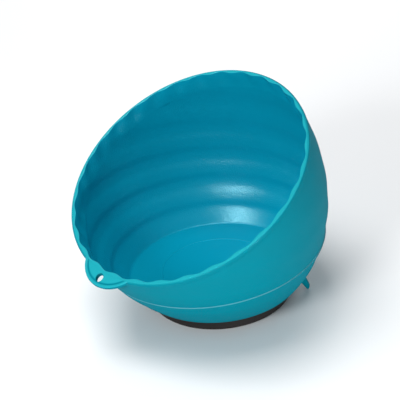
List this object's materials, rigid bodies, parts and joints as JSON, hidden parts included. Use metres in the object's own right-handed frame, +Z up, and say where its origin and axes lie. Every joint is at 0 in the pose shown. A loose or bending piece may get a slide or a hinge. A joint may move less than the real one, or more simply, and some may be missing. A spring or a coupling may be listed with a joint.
{
  "type": "magnetic parts tray",
  "caption": "Deep round magnetic parts tray with a leaning rippled bowl, a slanted scalloped rim, a hanging tab and a black magnetic foot.",
  "frame": {"origin": "centre of the resting face under the foot pad", "axes": "+Z up out of the bowl; the bowl leans towards -Y, where the hanging tab is; +Y is the tray's high back"},
  "size_m": [0.1582, 0.1558, 0.1277],
  "materials": {
    "teal_plastic": "fine-grained satin moulding, soft to the touch",
    "ferrite": "ground faces on dark sintered ferrite",
    "black_plastic": "satin black moulding",
    "zinc_steel": "zinc-plated",
    "pad_rubber": "matt anti-scratch rubber"
  },
  "bodies": {
    "root": {"bowl": "teal_plastic", "ring_magnet": "ferrite", "base_cup": "black_plastic", "base_screws": "zinc_steel", "foot_pad": "pad_rubber"}
  },
  "joints": []
}
